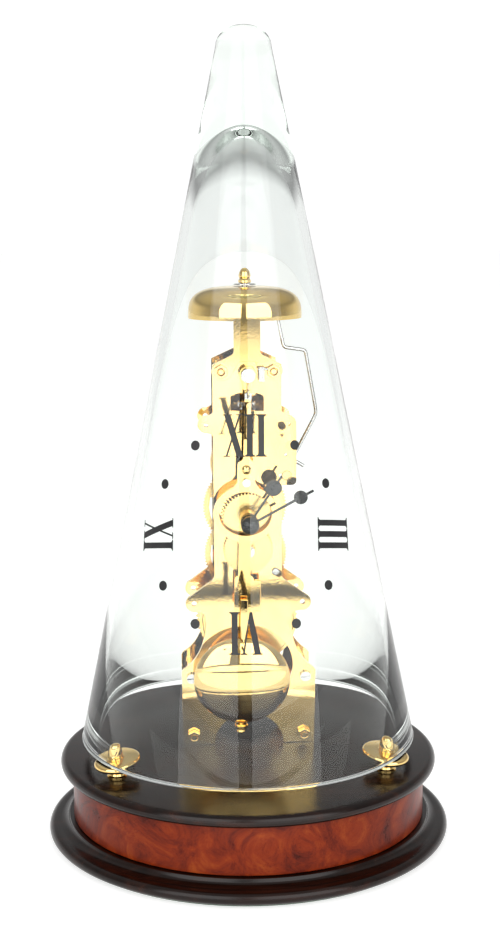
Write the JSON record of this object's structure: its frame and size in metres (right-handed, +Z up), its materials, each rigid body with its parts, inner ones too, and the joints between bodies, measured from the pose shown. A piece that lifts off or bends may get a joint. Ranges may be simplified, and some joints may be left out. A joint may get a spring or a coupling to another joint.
{
  "type": "skeleton clock",
  "caption": "Brass skeleton clock with a ring pendulum, a bell and hammer, black hands and dial figures on a tall glass cone, on a round burl base",
  "frame": {"origin": "centre of the base's underside", "axes": "+Z up, -Y is the front with the hands, +X to the right as seen from the front"},
  "size_m": [0.1876, 0.1876, 0.3696],
  "materials": {
    "baize": "green baize",
    "burl_veneer": "French-polished burl",
    "dark_mahogany": "French-polished, near black",
    "clear_glass": "clear, polished",
    "polished_brass": "mirror polished and lacquered",
    "wheel_brass": "fine satin",
    "bright_steel": "polished steel",
    "blacked_steel": "gloss black"
  },
  "bodies": {
    "frame": {"base_baize": "baize", "base_foot": "dark_mahogany", "base_drum": "burl_veneer", "base_deck": "dark_mahogany", "glass_support_left": "polished_brass", "glass_support_right": "polished_brass", "glass_support_rear": "polished_brass", "front_plate": "polished_brass", "back_plate": "polished_brass", "pillar_top_left": "polished_brass", "pillar_top_right": "polished_brass", "pillar_middle_left": "polished_brass", "pillar_middle_right": "polished_brass", "pillar_foot_left": "polished_brass", "pillar_foot_right": "polished_brass", "nut_top_left": "polished_brass", "nut_top_right": "polished_brass", "nut_foot_left": "polished_brass", "nut_foot_right": "polished_brass", "screw_middle_left": "bright_steel", "screw_middle_right": "bright_steel", "movement_bolt_left": "bright_steel", "movement_bolt_right": "bright_steel", "bell_bracket": "polished_brass", "bell": "polished_brass", "bell_washer": "bright_steel", "bell_acorn_nut": "polished_brass", "suspension_cock": "polished_brass", "suspension_screw": "bright_steel", "suspension_lock": "bright_steel", "click_screw": "bright_steel", "minute_wheel_stud": "bright_steel"},
    "glass": {"glass_cone": "clear_glass"},
    "third": {"third_wheel": "wheel_brass"},
    "escape": {"escape_wheel": "wheel_brass"},
    "centre": {"centre_wheel": "wheel_brass"},
    "second": {"second_wheel": "wheel_brass"},
    "barrel": {"barrel": "wheel_brass", "barrel_cover": "wheel_brass", "mainspring": "bright_steel"},
    "minute": {"cannon_pinion": "wheel_brass", "minute_hand": "blacked_steel", "hand_boss": "blacked_steel"},
    "hour": {"hour_wheel": "wheel_brass", "hour_hand": "blacked_steel"},
    "minute_wheel": {"minute_wheel": "wheel_brass"},
    "winding": {"winding_arbor": "bright_steel", "ratchet_wheel": "bright_steel"},
    "click": {"click": "bright_steel"},
    "hammer": {"hammer": "bright_steel", "hammer_head": "polished_brass"},
    "pendulum": {"suspension_spring": "bright_steel", "pendulum_rod": "polished_brass", "pendulum_clamp": "polished_brass", "pendulum_pointer": "polished_brass", "pendulum_screw": "bright_steel"},
    "bob": {"pendulum_bob": "polished_brass"},
    "rating_nut": {"rating_nut": "polished_brass"},
    "crutch": {"pallet_arbor": "bright_steel", "anchor": "bright_steel"}
  },
  "joints": [
    {"name": "glass_lift", "type": "slide", "parent": "frame", "child": "glass", "axis": [0, 0, 1], "range_m": [0, 0.24]},
    {"name": "third_spin", "type": "hinge", "parent": "frame", "child": "third", "pos_m": [0, 0.0105, 0.17356], "axis": [0, 1, 0], "continuous": true},
    {"name": "escape_spin", "type": "hinge", "parent": "frame", "child": "escape", "pos_m": [0, 0.0037, 0.19124], "axis": [0, 1, 0], "continuous": true},
    {"name": "centre_spin", "type": "hinge", "parent": "frame", "child": "centre", "pos_m": [0, 0.0146, 0.152], "axis": [0, 1, 0], "continuous": true},
    {"name": "second_spin", "type": "hinge", "parent": "frame", "child": "second", "pos_m": [0, 0.0096, 0.1304], "axis": [0, 1, 0], "continuous": true},
    {"name": "barrel_spin", "type": "hinge", "parent": "frame", "child": "barrel", "pos_m": [0, 0.0042, 0.1031], "axis": [0, 1, 0], "continuous": true},
    {"name": "minute_hand_turn", "type": "hinge", "parent": "frame", "child": "minute", "pos_m": [0, -0.03, 0.152], "axis": [0, 1, 0], "continuous": true},
    {"name": "minute_wheel_turn", "type": "hinge", "parent": "frame", "child": "minute_wheel", "pos_m": [0, -0.0146, 0.1373], "axis": [0, 1, 0], "continuous": true},
    {"name": "hour_hand_turn", "type": "hinge", "parent": "frame", "child": "hour", "pos_m": [0, -0.027, 0.152], "axis": [0, 1, 0], "continuous": true},
    {"name": "winding_turn", "type": "hinge", "parent": "frame", "child": "winding", "pos_m": [0, 0.024, 0.1031], "axis": [0, 1, 0], "range_deg": [0, 1440]},
    {"name": "click_lift", "type": "hinge", "parent": "frame", "child": "click", "pos_m": [0.0126, 0.021, 0.1116], "axis": [0, 1, 0], "range_deg": [0, 12], "stiffness_Nm_per_rad": 0.002},
    {"name": "hammer_lift", "type": "hinge", "parent": "frame", "child": "hammer", "pos_m": [0.0172, 0.005, 0.1805], "axis": [0, 1, 0], "range_deg": [-8, 0.6], "stiffness_Nm_per_rad": 0.1},
    {"name": "pendulum_swing", "type": "hinge", "parent": "frame", "child": "pendulum", "pos_m": [0, -0.022, 0.213], "axis": [0, 1, 0], "range_deg": [-4.5, 1.5]},
    {"name": "crutch_swing", "type": "hinge", "parent": "frame", "child": "crutch", "pos_m": [0, 0, 0.213], "axis": [0, 1, 0], "range_deg": [-4.5, 1.5]},
    {"name": "bob_slide", "type": "slide", "parent": "pendulum", "child": "bob", "axis": [0.0262, 0, 0.9997], "range_m": [-0.00091, 0.00091]},
    {"name": "rating_nut_turn", "type": "hinge", "parent": "bob", "child": "rating_nut", "pos_m": [-0.00424, -0.022, 0.05106], "axis": [0.0262, 0, 0.9997], "range_deg": [-720, 720]}
  ],
  "couplings": [
    {"joint": "escape_spin", "follows": "third_spin", "ratio": -12},
    {"joint": "centre_spin", "follows": "third_spin", "ratio": -0.1},
    {"joint": "second_spin", "follows": "third_spin", "ratio": 0.0125},
    {"joint": "barrel_spin", "follows": "third_spin", "ratio": -0.0020833},
    {"joint": "minute_wheel_turn", "follows": "minute_hand_turn", "ratio": -0.33333},
    {"joint": "hour_hand_turn", "follows": "minute_hand_turn", "ratio": 0.083333},
    {"joint": "crutch_swing", "follows": "pendulum_swing", "ratio": 1},
    {"joint": "bob_slide", "follows": "rating_nut_turn", "m_per_rad": 0.00007162}
  ]
}
